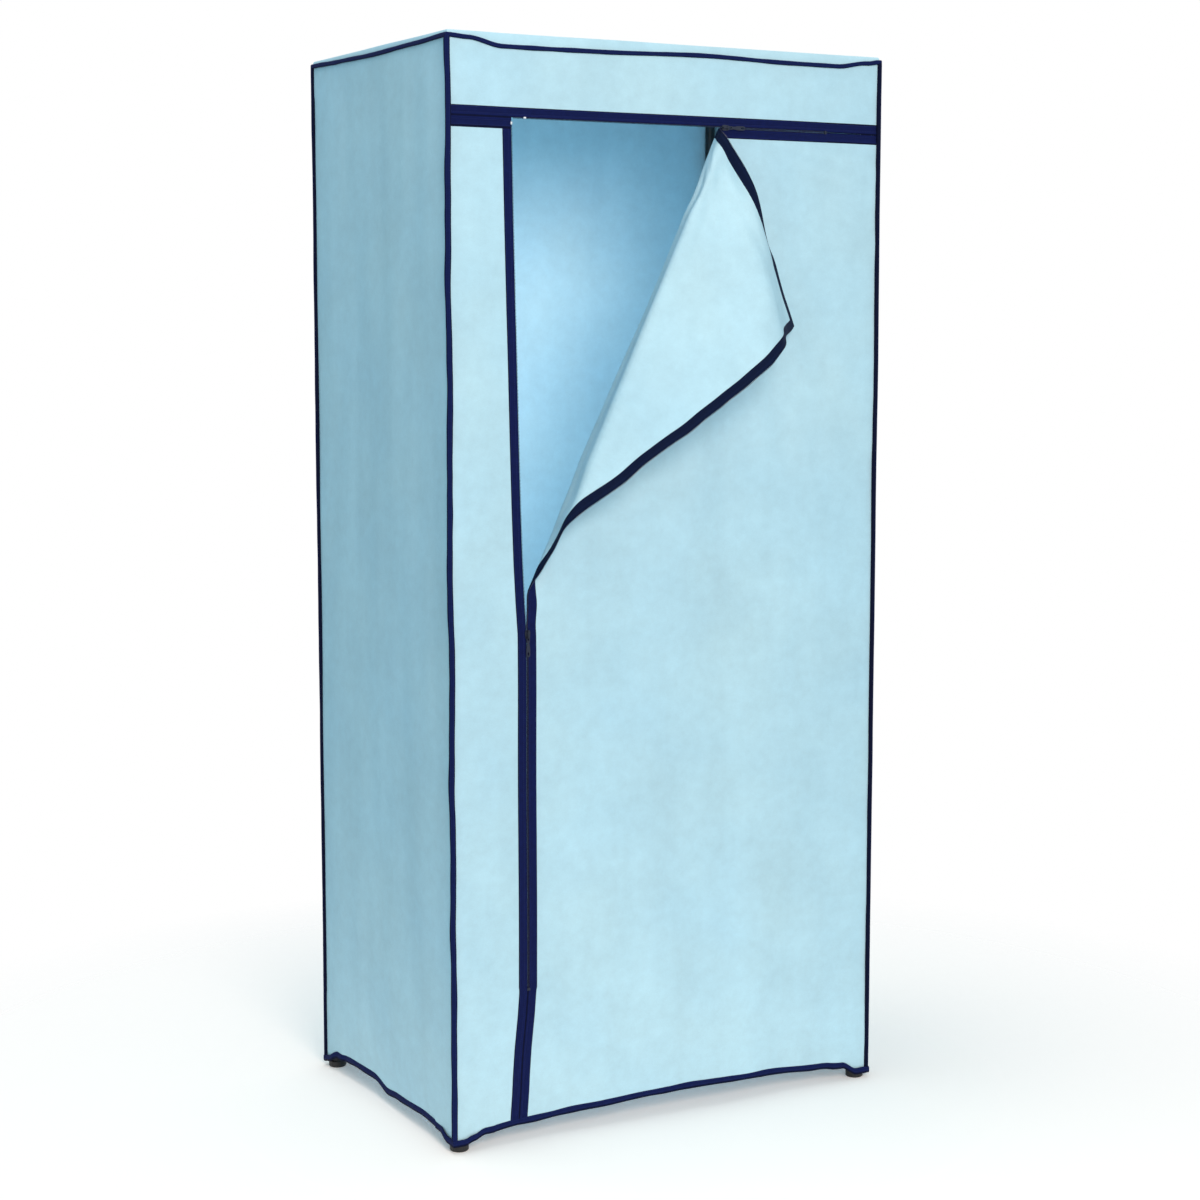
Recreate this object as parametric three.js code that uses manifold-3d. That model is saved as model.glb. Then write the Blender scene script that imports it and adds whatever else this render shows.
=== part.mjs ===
// A portable wardrobe: a frame of steel tubes in plastic connectors, under a cloth cover with a zip door.
// Lengths are in millimetres. +Z is up, the door is in front at -Y, and the feet stand at Z = 0.
import * as THREE from 'three';
import { mergeVertices } from 'three/addons/utils/BufferGeometryUtils.js';
import Module from 'manifold-3d';

const wasm = await Module();
wasm.setup();

// Driving dimensions

const cover = {
  width: 730,
  depth: 480,
  height: 1600,
  cloth: 1.5,
  seam: 0.3,
};

const binding = {
  height: 8,
  proud: 2,
  cornerDepth: 4,
  topDrop: 8,
  hemHeight: 16,
  sag: 13,
  rise: 21,
};

// How far the roof binding hangs and the hem lifts along each side, as pairs: share of the side, share of
// the full amount. The sides run front, right, back, left, each from the left as seen from outside.
const sagShares = [
  [[0.1, 1], [0.33, 0.85], [0.57, 0.5], [0.89, 0.8]],
  [[0.5, 0.1]],
  [[0.11, 0.8], [0.43, 0.6], [0.67, 0.85], [0.9, 0.9]],
  [[0.5, 0.1]],
];
const riseShares = [
  [[0.07, 0.48], [0.47, 1], [0.73, 0.9], [0.935, 0.48]],
  [[0.1, 0.6], [0.5, 0.9], [0.9, 0.6]],
  [[0.08, 0.5], [0.4, 0.95], [0.7, 0.9], [0.93, 0.5]],
  [[0.1, 0.6], [0.24, 0.76], [0.38, 0.7], [0.48, 0.22], [0.75, 0.55], [0.94, 0.28]],
];

const zip = {
  tape: 14,
  gap: 2,
  drop: 117,          // level zip below the roof
  topInset: 100,      // upright zip from the left edge, at the level zip
  inset: 121,         // the same along its closed length
  hemInset: 108,      // the same at the hem
  sliderDrop: 730,    // side slider below the level zip
  stopHeight: 229,    // bottom stop above the floor
  sliderBeside: 9,    // top slider to the right of the first fold
  stopInset: 100,     // top zip's end stop from the right edge
};

// The folded corner of the door turns about three lines, each from the level zip down to the side zip.
const folds = [
  { name: 'fold_turn', inset: 443, drop: 682, angle: 77 },
  { name: 'leaf_turn', inset: 422, drop: 563, angle: 78 },
  { name: 'corner_turn', inset: 392, drop: 164, angle: 62 },
];

const tube = {
  radius: 8,
  wall: 0.8,
  neckLength: 25,
  neckFit: 0.3,
  lowerPostTop: 840,
};

const connector = {
  elbow: 12.2,
  sleeve: 11.7,
  arm: 42,
  core: 13,
  fit: 0.3,
  axisInset: 14,
  lowerRailHeight: 75,
};

const foot = {
  radius: 14,
  height: 11,
  chamfer: 1.5,
};

const bracket = {
  length: 44,
};

const slider = {
  width: 8.6,
  tailWidth: 6.6,
  length: 12,
  shoulderShare: 1 / 3,
  thickness: 2.2,
  seat: 0.3,
  bridgeWidth: 1.6,
  bridgeLength: 11,
  bridgeBar: 1.2,
  bridgeLeg: 1.5,
  window: 2.2,
};

const pull = {
  length: 30,
  thickness: 1,
  pin: 1.2,
  pinFit: 0.3,
  eyeWidth: 5,
  eyeGap: 2.6,
  eyeLength: 6.2,
  neckWidth: 3.4,
  neckEnd: 10,
  width: 6.2,
  shoulder: 17,
  slotGap: 2.4,
  slotLength: 3,
  slotRim: 2.2,
};

const stop = {
  width: 5,
  height: 3.6,
  thickness: 1.8,
};

const roundSides = 16;
const slotSides = 6;
const overrun = 5;

// Colours and finishes

const finishes = {
  cloth: { color: 0xb8dcec, roughness: 0.85, metalness: 0 },
  clothBack: { color: 0xaed3e4, roughness: 0.88, metalness: 0 },
  tape: { color: 0x23265c, roughness: 0.7, metalness: 0 },
  binding: { color: 0x1f2152, roughness: 0.7, metalness: 0 },
  tube: { color: 0x17171a, roughness: 0.4, metalness: 0.3 },
  plastic: { color: 0x141416, roughness: 0.5, metalness: 0 },
  metal: { color: 0x4a4c52, roughness: 0.35, metalness: 0.9 },
};

function named(name, geometry, finish) {
  const mesh = new THREE.Mesh(geometry, new THREE.MeshStandardMaterial(finishes[finish]));
  mesh.name = name;
  return mesh;
}

// Booleans

function solid(geometry) {
  const bare = geometry.clone();
  bare.deleteAttribute('normal');
  bare.deleteAttribute('uv');
  const merged = mergeVertices(bare);
  return new wasm.Manifold(new wasm.Mesh({
    numProp: 3,
    vertProperties: new Float32Array(merged.attributes.position.array),
    triVerts: new Uint32Array(merged.index.array),
  }));
}

function joined(parts, cuts = []) {
  const body = parts.map(solid).reduce((whole, part) => whole.add(part));
  const cut = cuts.map(solid).reduce((whole, part) => whole.subtract(part), body);
  const mesh = cut.getMesh();
  const geometry = new THREE.BufferGeometry();
  geometry.setAttribute('position', new THREE.BufferAttribute(new Float32Array(mesh.vertProperties), 3));
  geometry.setIndex(new THREE.BufferAttribute(new Uint32Array(mesh.triVerts), 1));
  geometry.computeVertexNormals();
  return geometry;
}

// Sides of the cover, in the order of a walk round it: front, right, back, left

const halfWidth = cover.width / 2;
const halfDepth = cover.depth / 2;
const sides = [
  { length: cover.width, start: [-halfWidth, -halfDepth], turn: 0 },
  { length: cover.depth, start: [halfWidth, -halfDepth], turn: Math.PI / 2 },
  { length: cover.width, start: [halfWidth, halfDepth], turn: Math.PI },
  { length: cover.depth, start: [-halfWidth, halfDepth], turn: -Math.PI / 2 },
];

// The same corners that the sides start from, each with its signs in X and Y
const corners = [['front_left', -1, -1], ['front_right', 1, -1], ['back_right', 1, 1], ['back_left', -1, 1]];

const topSeam = cover.height - binding.topDrop;
const zipLevel = cover.height - zip.drop;
const sliderHeight = zipLevel - zip.sliderDrop;
const cornerClear = binding.cornerDepth + cover.seam;

function blendBetween(table, at) {
  const after = table.findIndex((row) => row[0] >= at);
  if (after <= 0) return table[after === 0 ? 0 : table.length - 1][1];
  const [fromPlace, fromValue] = table[after - 1];
  const [toPlace, toValue] = table[after];
  return fromValue + (toValue - fromValue) * (at - fromPlace) / (toPlace - fromPlace);
}

// Lift of an edge along a side. It stays level over the corner bindings.
function edgeTable(sideIndex, shares, amount) {
  const length = sides[sideIndex].length;
  const inner = shares[sideIndex].map(([place, share]) => [place * length, share * amount]);
  return [[0, 0], [cornerClear, 0], ...inner, [length - cornerClear, 0], [length, 0]];
}

// Points of an edge between two places along a side, at a height that follows the edge's sag or rise.
function edgePoints(sideIndex, shares, amount, height, from, to) {
  const table = edgeTable(sideIndex, shares, amount);
  const inner = table.map((row) => row[0]).filter((place) => place > from && place < to);
  return [from, ...inner, to].map((place) => [place, height + blendBetween(table, place)]);
}

function hemPoints(sideIndex, from, to) {
  const height = binding.hemHeight + binding.height / 2 + cover.seam;
  return edgePoints(sideIndex, riseShares, binding.rise, height, from, to);
}

function topPoints(sideIndex, from, to) {
  const height = topSeam - binding.height / 2 - cover.seam;
  return edgePoints(sideIndex, sagShares, -binding.sag, height, from, to);
}

// Flat pieces of cloth and tape. Their outline is in the plane of a side: place along it, and height.

function panel(points) {
  const outline = new THREE.Shape(points.map(([along, height]) => new THREE.Vector2(along, height)));
  const geometry = new THREE.ExtrudeGeometry(outline, { depth: cover.cloth, bevelEnabled: false });
  geometry.rotateX(Math.PI / 2);
  geometry.translate(0, cover.cloth, 0);
  return geometry;
}

function wallGroup(side) {
  const group = new THREE.Group();
  group.position.set(side.start[0], side.start[1], 0);
  group.rotation.z = side.turn;
  return group;
}

function plainWall(sideIndex) {
  const from = cornerClear;
  const to = sides[sideIndex].length - cornerClear;
  return panel([...hemPoints(sideIndex, from, to), ...topPoints(sideIndex, from, to).reverse()]);
}

// Bands that run right round the cover: the roof binding, the hem binding and the roof's turned-down edge.

function walkRound(shares, amount) {
  return sides.flatMap((side, index) => {
    const before = sides[(index + sides.length - 1) % sides.length];
    const along = [Math.cos(side.turn), Math.sin(side.turn)];
    const outward = [Math.sin(side.turn), -Math.cos(side.turn)];
    const corner = [outward[0] + Math.sin(before.turn), outward[1] - Math.cos(before.turn)];
    return edgeTable(index, shares, amount).slice(0, -1).map(([place, lift]) => ({
      x: side.start[0] + along[0] * place,
      y: side.start[1] + along[1] * place,
      outward: place === 0 ? corner : outward,
      lift,
    }));
  });
}

function indexed(vertices, faces) {
  const geometry = new THREE.BufferGeometry();
  geometry.setAttribute('position', new THREE.Float32BufferAttribute(vertices.flat(), 3));
  geometry.setIndex(faces.flat());
  geometry.computeVertexNormals();
  return geometry;
}

function stationPoint(station, offset, height) {
  return [station.x + station.outward[0] * offset, station.y + station.outward[1] * offset, height];
}

function quad(a, b, c, d) {
  return [a, b, c, a, c, d];
}

function band(stations, centre) {
  const half = binding.height / 2;
  const section = [
    [binding.proud, -half],
    [binding.proud, half],
    [-cover.cloth, half],
    [-cover.cloth, -half],
  ];
  const vertices = stations.flatMap((station) => section.map(
    ([offset, rise]) => stationPoint(station, offset, centre + station.lift + rise),
  ));
  const count = section.length;
  const faces = stations.flatMap((station, index) => {
    const here = index * count;
    const next = ((index + 1) % stations.length) * count;
    return section.map((corner, side) => {
      const beside = (side + 1) % count;
      return quad(here + side, next + side, next + beside, here + beside);
    });
  });
  return indexed(vertices, faces);
}

function roofTray(stations) {
  const rim = topSeam + binding.height / 2 + cover.seam;
  const ceiling = cover.height - cover.cloth;
  const sections = stations.map((station) => [
    stationPoint(station, 0, rim + station.lift),
    stationPoint(station, 0, cover.height),
    stationPoint(station, -cover.cloth, ceiling),
    stationPoint(station, -cover.cloth, rim + station.lift),
  ]);
  const count = sections[0].length;
  const vertices = sections.flat();
  const top = vertices.length;
  const under = top + 1;
  vertices.push([0, 0, cover.height], [0, 0, ceiling]);
  const faces = stations.flatMap((station, index) => {
    const a = index * count;
    const b = ((index + 1) % stations.length) * count;
    return [
      quad(a, b, b + 1, a + 1),
      quad(a + 2, b + 2, b + 3, a + 3),
      quad(a + 3, b + 3, b, a),
      [top, a + 1, b + 1],
      [under, b + 2, a + 2],
    ];
  });
  return indexed(vertices, faces);
}

function cornerBinding() {
  const low = binding.hemHeight + binding.height / 2 + cover.seam;
  const high = topSeam - binding.height / 2 - cover.seam;
  const section = binding.proud + binding.cornerDepth;
  const geometry = new THREE.BoxGeometry(section, section, high - low);
  const centre = binding.cornerDepth - section / 2;
  geometry.translate(centre, centre, (high + low) / 2);
  return geometry;
}

// The upright zip's line, and outlines that follow it at a distance to its right.

const zipLine = [
  [0, zip.hemInset],
  [zip.stopHeight, zip.inset],
  [sliderHeight, zip.inset],
  [zipLevel, zip.topInset],
];

function besideZip(offset, low, high) {
  const bends = zipLine.map((row) => row[0]).filter((height) => height > low && height < high);
  return [low, ...bends, high].map((height) => [blendBetween(zipLine, height) + offset, height]);
}

// A line beside the upright zip, from the hem up.
function fromHem(offset, high) {
  const low = hemPoints(0, zip.hemInset + offset, cover.width)[0][1];
  return besideZip(offset, low, high);
}

const tapeNear = zip.gap / 2;
const tapeFar = tapeNear + zip.tape;
const clothNear = tapeFar + cover.seam;
const rightEnd = cover.width - cornerClear;
const bandLow = zipLevel - tapeFar;
const bandHigh = zipLevel + tapeFar;

function frontStripOutline() {
  const zipSide = fromHem(-clothNear, bandLow - cover.seam);
  const hem = hemPoints(0, cornerClear, zipSide[0][0]);
  return [...hem, ...zipSide.slice(1), [cornerClear, bandLow - cover.seam]];
}

function stripTapeOutline() {
  const high = bandLow - cover.seam;
  return [...fromHem(-tapeNear, high), ...fromHem(-tapeFar, high).reverse()];
}

// The header's tape turns down the corner beside the upright zip and covers both tapes' width there.
function headerTapeOutline() {
  const corner = zip.topInset - tapeNear;
  return [
    [cornerClear, bandLow],
    [corner, bandLow],
    [corner, zipLevel + tapeNear],
    [rightEnd, zipLevel + tapeNear],
    [rightEnd, bandHigh],
    [cornerClear, bandHigh],
  ];
}

function headerClothOutline() {
  const low = bandHigh + cover.seam;
  return [[cornerClear, low], [rightEnd, low], ...topPoints(0, cornerClear, rightEnd).reverse()];
}

// The door lies flat in these outlines, before its folded corner is cut off and turned.

function doorClothOutline() {
  const high = bandLow - cover.seam;
  const zipSide = fromHem(clothNear, high);
  return [...hemPoints(0, zipSide[0][0], rightEnd), [rightEnd, high], ...zipSide.slice(1).reverse()];
}

function doorSideTapeOutline() {
  const high = zipLevel - tapeNear;
  return [...fromHem(tapeFar, high), ...fromHem(tapeNear, high).reverse()];
}

function doorTopTapeOutline() {
  const high = zipLevel - tapeNear;
  const left = zip.topInset + tapeNear;
  return [[left, bandLow], [rightEnd, bandLow], [rightEnd, high], [left, high]];
}

function doorCornerTapeOutline() {
  const high = zipLevel - tapeNear;
  const low = sliderHeight;
  const outer = besideZip(tapeNear, low, high);
  const inner = besideZip(tapeFar, low, bandLow);
  return [...inner, [rightEnd, bandLow], [rightEnd, high], ...outer.reverse()];
}

// Fold lines, and the part of an outline on one side of a line

function foldLine(fold) {
  const low = zipLevel - fold.drop;
  const top = new THREE.Vector2(fold.inset, zipLevel);
  const foot = new THREE.Vector2(blendBetween(zipLine, low), low);
  const along = foot.clone().sub(top).normalize();
  const towardsCorner = new THREE.Vector2(along.y, -along.x);
  return { top, along, towardsCorner };
}

const foldLines = folds.map(foldLine);

function keptSide(points, line, sense) {
  const distance = ([along, height]) => {
    const from = new THREE.Vector2(along, height).sub(line.top);
    return from.dot(line.towardsCorner) * sense - cover.seam / 2;
  };
  return points.flatMap((point, index) => {
    const next = points[(index + 1) % points.length];
    const here = distance(point);
    const there = distance(next);
    const kept = here >= 0 ? [point] : [];
    if (here * there < 0) {
      const share = here / (here - there);
      kept.push([point[0] + (next[0] - point[0]) * share, point[1] + (next[1] - point[1]) * share]);
    }
    return kept;
  });
}

// Part of a door outline between two fold lines: 0 stays flat and 3 is the corner itself.
function doorPart(points, index) {
  const past = index > 0 ? keptSide(points, foldLines[index - 1], 1) : points;
  return index < foldLines.length ? keptSide(past, foldLines[index], -1) : past;
}

function foldGroup(index) {
  const { top, along } = foldLines[index];
  const axis = new THREE.Vector3(along.x, 0, along.y);
  const group = new THREE.Group();
  group.name = folds[index].name;
  group.quaternion.setFromAxisAngle(axis, -THREE.MathUtils.degToRad(folds[index].angle));
  const pivot = new THREE.Vector3(top.x, 0, top.y);
  group.position.copy(pivot).sub(pivot.clone().applyQuaternion(group.quaternion));
  return group;
}

// Zip sliders, pulls and stops. Each is made with the zip upright, its front towards -Y and its tail down.

function box(widthX, depthY, heightZ, x, y, z) {
  const geometry = new THREE.BoxGeometry(widthX, depthY, heightZ);
  geometry.translate(x, y, z);
  return geometry;
}

const bridgeFace = slider.seat + slider.thickness;
const pinReach = bridgeFace + slider.window / 2;
const pinTurn = Math.hypot(pull.pin, pull.thickness) / 2;
const pinDrop = slider.bridgeLength / 2 - slider.bridgeLeg - pull.pinFit - pinTurn;

function sliderGeometry() {
  const head = slider.width / 2;
  const tail = slider.tailWidth / 2;
  const half = slider.length / 2;
  const shoulder = half * slider.shoulderShare;
  const outline = new THREE.Shape([
    new THREE.Vector2(-tail, -half),
    new THREE.Vector2(tail, -half),
    new THREE.Vector2(head, shoulder),
    new THREE.Vector2(tail, half),
    new THREE.Vector2(-tail, half),
    new THREE.Vector2(-head, shoulder),
  ]);
  const body = new THREE.ExtrudeGeometry(outline, { depth: slider.thickness, bevelEnabled: false });
  body.rotateX(Math.PI / 2);
  body.translate(0, -slider.seat, 0);
  const sunk = slider.thickness / 2;
  const reach = slider.window + slider.bridgeBar;
  const middle = -bridgeFace - (reach - sunk) / 2;
  const bridge = box(slider.bridgeWidth, reach + sunk, slider.bridgeLength, 0, middle, 0);
  const opening = slider.bridgeLength - slider.bridgeLeg * 2;
  const window = box(slider.bridgeWidth + overrun, slider.window, opening, 0, -pinReach, 0);
  return joined([body, bridge], [window]);
}

function pullGeometry() {
  const eye = pull.eyeWidth / 2;
  const neck = pull.neckWidth / 2;
  const wide = pull.width / 2;
  const end = pull.length - wide;
  const outline = new THREE.Shape();
  outline.moveTo(eye, pull.pin / 2);
  outline.lineTo(-eye, pull.pin / 2);
  outline.lineTo(-eye, -pull.eyeLength - pull.pin / 2);
  outline.lineTo(-neck, -pull.neckEnd);
  outline.lineTo(-wide, -pull.shoulder);
  outline.lineTo(-wide, -end);
  outline.absarc(0, -end, wide, Math.PI, 2 * Math.PI, false);
  outline.lineTo(wide, -pull.shoulder);
  outline.lineTo(neck, -pull.neckEnd);
  outline.lineTo(eye, -pull.eyeLength - pull.pin / 2);
  const gap = pull.eyeGap / 2;
  const eyeHole = new THREE.Path();
  eyeHole.moveTo(-gap, -pull.pin / 2);
  eyeHole.lineTo(gap, -pull.pin / 2);
  eyeHole.lineTo(gap, -pull.eyeLength);
  eyeHole.lineTo(-gap, -pull.eyeLength);
  const slotEnd = pull.length - pull.slotRim - pull.slotGap / 2;
  const slot = new THREE.Path();
  slot.absarc(0, -slotEnd, pull.slotGap / 2, Math.PI, 2 * Math.PI, false);
  slot.absarc(0, -slotEnd + pull.slotLength, pull.slotGap / 2, 0, Math.PI, false);
  outline.holes.push(eyeHole, slot);
  const settings = { depth: pull.thickness, bevelEnabled: false, curveSegments: slotSides };
  const geometry = new THREE.ExtrudeGeometry(outline, settings);
  geometry.rotateX(Math.PI / 2);
  geometry.translate(0, pull.thickness / 2, 0);
  return geometry;
}

function stopGeometry() {
  return box(stop.width, stop.thickness, stop.height, 0, -slider.seat - stop.thickness / 2, 0);
}

function zipFittings(name, turn) {
  const travel = new THREE.Group();
  travel.rotation.y = turn;
  const swing = new THREE.Group();
  swing.position.set(0, -pinReach, -pinDrop);
  swing.add(named(`${name}_pull`, pullGeometry(), 'metal'));
  travel.add(named(`${name}_slider`, sliderGeometry(), 'metal'), swing);
  return travel;
}

// Frame tubes and other turned shapes run along Z before they are moved

function turned(profile) {
  const points = profile.map(([r, z]) => new THREE.Vector2(r, z));
  return new THREE.LatheGeometry(points, roundSides).rotateX(Math.PI / 2);
}

function tubeGeometry(length) {
  const inner = tube.radius - tube.wall;
  return turned([[inner, 0], [tube.radius, 0], [tube.radius, length], [inner, length], [inner, 0]]);
}

// An upper post ends in a reduced neck that plugs into the lower post.
function neckedTubeGeometry(length) {
  const bore = tube.radius - tube.wall;
  const neck = bore - tube.neckFit;
  const neckBore = neck - tube.wall;
  return turned([
    [neckBore, -tube.neckLength],
    [neck, -tube.neckLength],
    [neck, 0],
    [tube.radius, 0],
    [tube.radius, length],
    [bore, length],
    [bore, tube.wall],
    [neckBore, tube.wall],
    [neckBore, -tube.neckLength],
  ]);
}

function rod(radius, from, to, direction) {
  const geometry = new THREE.CylinderGeometry(radius, radius, to - from, roundSides);
  geometry.translate(0, (from + to) / 2, 0);
  const turn = new THREE.Quaternion().setFromUnitVectors(new THREE.Vector3(0, 1, 0), direction);
  return geometry.applyQuaternion(turn);
}

// A socket's bore, wide enough for its flats to clear the tube.
const boreRadius = (tube.radius + connector.fit) / Math.cos(Math.PI / roundSides);
const railHeight = cover.height - cover.cloth - connector.fit - connector.elbow;
const postX = halfWidth - connector.axisInset;
const postY = halfDepth - connector.axisInset;
const tubeStart = connector.core + connector.fit;

function socket(direction) {
  return {
    sleeve: rod(connector.sleeve, 0, connector.arm, direction),
    bore: rod(boreRadius, connector.core, connector.arm + overrun, direction),
  };
}

function elbow() {
  return new THREE.SphereGeometry(connector.elbow, roundSides, roundSides / 2).rotateX(Math.PI / 2);
}

function topConnector(signX, signY) {
  const sockets = [
    socket(new THREE.Vector3(-signX, 0, 0)),
    socket(new THREE.Vector3(0, -signY, 0)),
    socket(new THREE.Vector3(0, 0, -1)),
  ];
  return joined([elbow(), ...sockets.map((each) => each.sleeve)], sockets.map((each) => each.bore));
}

function footConnector(signX, signY) {
  const sockets = [
    socket(new THREE.Vector3(-signX, 0, 0)),
    socket(new THREE.Vector3(0, -signY, 0)),
    socket(new THREE.Vector3(0, 0, 1)),
  ];
  const inner = foot.radius - foot.chamfer;
  const pad = turned([
    [0, 0],
    [inner, 0],
    [foot.radius, foot.chamfer],
    [foot.radius, foot.height - foot.chamfer],
    [inner, foot.height],
    [0, foot.height],
  ]);
  pad.translate(0, 0, -connector.lowerRailHeight);
  const legLow = foot.chamfer - connector.lowerRailHeight;
  const leg = rod(connector.sleeve, legLow, 0, new THREE.Vector3(0, 0, 1));
  const bores = sockets.map((each) => each.bore);
  return joined([elbow(), pad, leg, ...sockets.map((each) => each.sleeve)], bores);
}

function rodBracket(sign) {
  const arm = socket(new THREE.Vector3(-sign, 0, 0));
  const half = bracket.length / 2;
  const rail = new THREE.Vector3(0, 1, 0);
  const sleeve = rod(connector.elbow, -half, half, rail);
  const bore = rod(boreRadius, -half - overrun, half + overrun, rail);
  return joined([sleeve, arm.sleeve], [arm.bore, bore]);
}

// Assembly of the frame

function buildFrame() {
  const frame = new THREE.Group();
  for (const [place, signX, signY] of corners) {
    const footPiece = named(`foot_connector_${place}`, footConnector(signX, signY), 'plastic');
    footPiece.position.set(postX * signX, postY * signY, connector.lowerRailHeight);
    const low = connector.lowerRailHeight + tubeStart;
    const lower = named(`lower_post_${place}`, tubeGeometry(tube.lowerPostTop - low), 'tube');
    lower.position.set(postX * signX, postY * signY, low);
    const high = railHeight - tubeStart;
    const join = tube.lowerPostTop + connector.fit;
    const upper = named(`upper_post_${place}`, neckedTubeGeometry(high - join), 'tube');
    upper.position.set(postX * signX, postY * signY, join);
    const topPiece = named(`top_connector_${place}`, topConnector(signX, signY), 'plastic');
    topPiece.position.set(postX * signX, postY * signY, railHeight);
    frame.add(footPiece, lower, upper, topPiece);
  }
  const spanX = (postX - tubeStart) * 2;
  const spanY = (postY - tubeStart) * 2;
  const levels = [['bottom', connector.lowerRailHeight], ['top', railHeight]];
  for (const [level, height] of levels) {
    for (const [place, sign] of [['front', -1], ['back', 1]]) {
      const rail = named(`${level}_rail_${place}`, tubeGeometry(spanX), 'tube');
      rail.rotation.y = Math.PI / 2;
      rail.position.set(-spanX / 2, postY * sign, height);
      frame.add(rail);
    }
    for (const [place, sign] of [['left', -1], ['right', 1]]) {
      const rail = named(`${level}_rail_${place}`, tubeGeometry(spanY), 'tube');
      rail.rotation.x = -Math.PI / 2;
      rail.position.set(postX * sign, -spanY / 2, height);
      frame.add(rail);
    }
  }
  for (const [place, sign] of [['left', -1], ['right', 1]]) {
    const piece = named(`rod_bracket_${place}`, rodBracket(sign), 'plastic');
    piece.position.set(postX * sign, 0, railHeight);
    frame.add(piece);
  }
  const hangingRod = named('hanging_rod', tubeGeometry(spanX), 'tube');
  hangingRod.rotation.y = Math.PI / 2;
  hangingRod.position.set(-spanX / 2, 0, railHeight);
  frame.add(hangingRod);
  return frame;
}

// Assembly of the door: its flat part, then the folded corner, each fold carried by the one before

function buildDoor() {
  const door = new THREE.Group();
  const cloth = doorClothOutline();
  const sideTape = doorSideTapeOutline();
  const topTape = doorTopTapeOutline();
  door.add(
    named('door_cloth', panel(doorPart(cloth, 0)), 'cloth'),
    named('door_side_tape', panel(doorPart(sideTape, 0)), 'tape'),
    named('door_top_tape', panel(doorPart(topTape, 0)), 'tape'),
  );
  const fold = foldGroup(0);
  fold.add(
    named('fold_cloth', panel(doorPart(cloth, 1)), 'cloth'),
    named('fold_side_tape', panel(doorPart(sideTape, 1)), 'tape'),
    named('fold_top_tape', panel(doorPart(topTape, 1)), 'tape'),
  );
  const leaf = foldGroup(1);
  leaf.add(
    named('leaf_cloth', panel(doorPart(cloth, 2)), 'cloth'),
    named('leaf_side_tape', panel(doorPart(sideTape, 2)), 'tape'),
    named('leaf_top_tape', panel(doorPart(topTape, 2)), 'tape'),
  );
  const corner = foldGroup(2);
  corner.add(
    named('corner_cloth', panel(doorPart(cloth, 3)), 'cloth'),
    named('corner_tape', panel(doorPart(doorCornerTapeOutline(), 3)), 'tape'),
  );
  leaf.add(corner);
  fold.add(leaf);
  door.add(fold);
  return door;
}

function buildZips() {
  const zips = new THREE.Group();
  const sideFittings = zipFittings('side_zip', 0);
  sideFittings.position.set(zip.inset, 0, sliderHeight);
  const topFittings = zipFittings('top_zip', -Math.PI / 2);
  topFittings.position.set(folds[0].inset + zip.sliderBeside, 0, zipLevel);
  const sideStop = named('side_zip_stop', stopGeometry(), 'metal');
  sideStop.position.set(zip.inset, 0, zip.stopHeight);
  const topStop = named('top_zip_stop', stopGeometry(), 'metal');
  topStop.rotation.y = Math.PI / 2;
  topStop.position.set(cover.width - zip.stopInset, 0, zipLevel);
  zips.add(sideFittings, topFittings, sideStop, topStop);
  return zips;
}

function buildCover() {
  const whole = new THREE.Group();
  const walls = sides.map(wallGroup);
  walls[0].add(
    named('header_cloth', panel(headerClothOutline()), 'cloth'),
    named('header_zip_tape', panel(headerTapeOutline()), 'tape'),
    named('front_strip_cloth', panel(frontStripOutline()), 'cloth'),
    named('strip_zip_tape', panel(stripTapeOutline()), 'tape'),
    buildDoor(),
    buildZips(),
  );
  walls[1].add(named('right_side_cloth', plainWall(1), 'cloth'));
  walls[2].add(named('back_cloth', plainWall(2), 'clothBack'));
  walls[3].add(named('left_side_cloth', plainWall(3), 'cloth'));
  walls.forEach((wall, index) => {
    wall.add(named(`corner_binding_${corners[index][0]}`, cornerBinding(), 'binding'));
  });
  const roofWalk = walkRound(sagShares, -binding.sag);
  const hemWalk = walkRound(riseShares, binding.rise);
  whole.add(
    ...walls,
    named('roof_cloth', roofTray(roofWalk), 'cloth'),
    named('roof_binding', band(roofWalk, topSeam), 'binding'),
    named('hem_binding', band(hemWalk, binding.hemHeight), 'binding'),
  );
  return whole;
}

// The origin is the middle of the whole footprint, the folded corner's reach included.
const wardrobe = new THREE.Group();
wardrobe.add(buildFrame(), buildCover());
const reach = new THREE.Box3().setFromObject(wardrobe, true);
wardrobe.position.y = -(reach.min.y + reach.max.y) / 2;

export default wardrobe;
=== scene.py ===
# Portable fabric wardrobe: cloth cover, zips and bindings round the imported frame
import math

import bmesh
import bpy
import numpy as np
from mathutils import Matrix, Vector, noise


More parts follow.
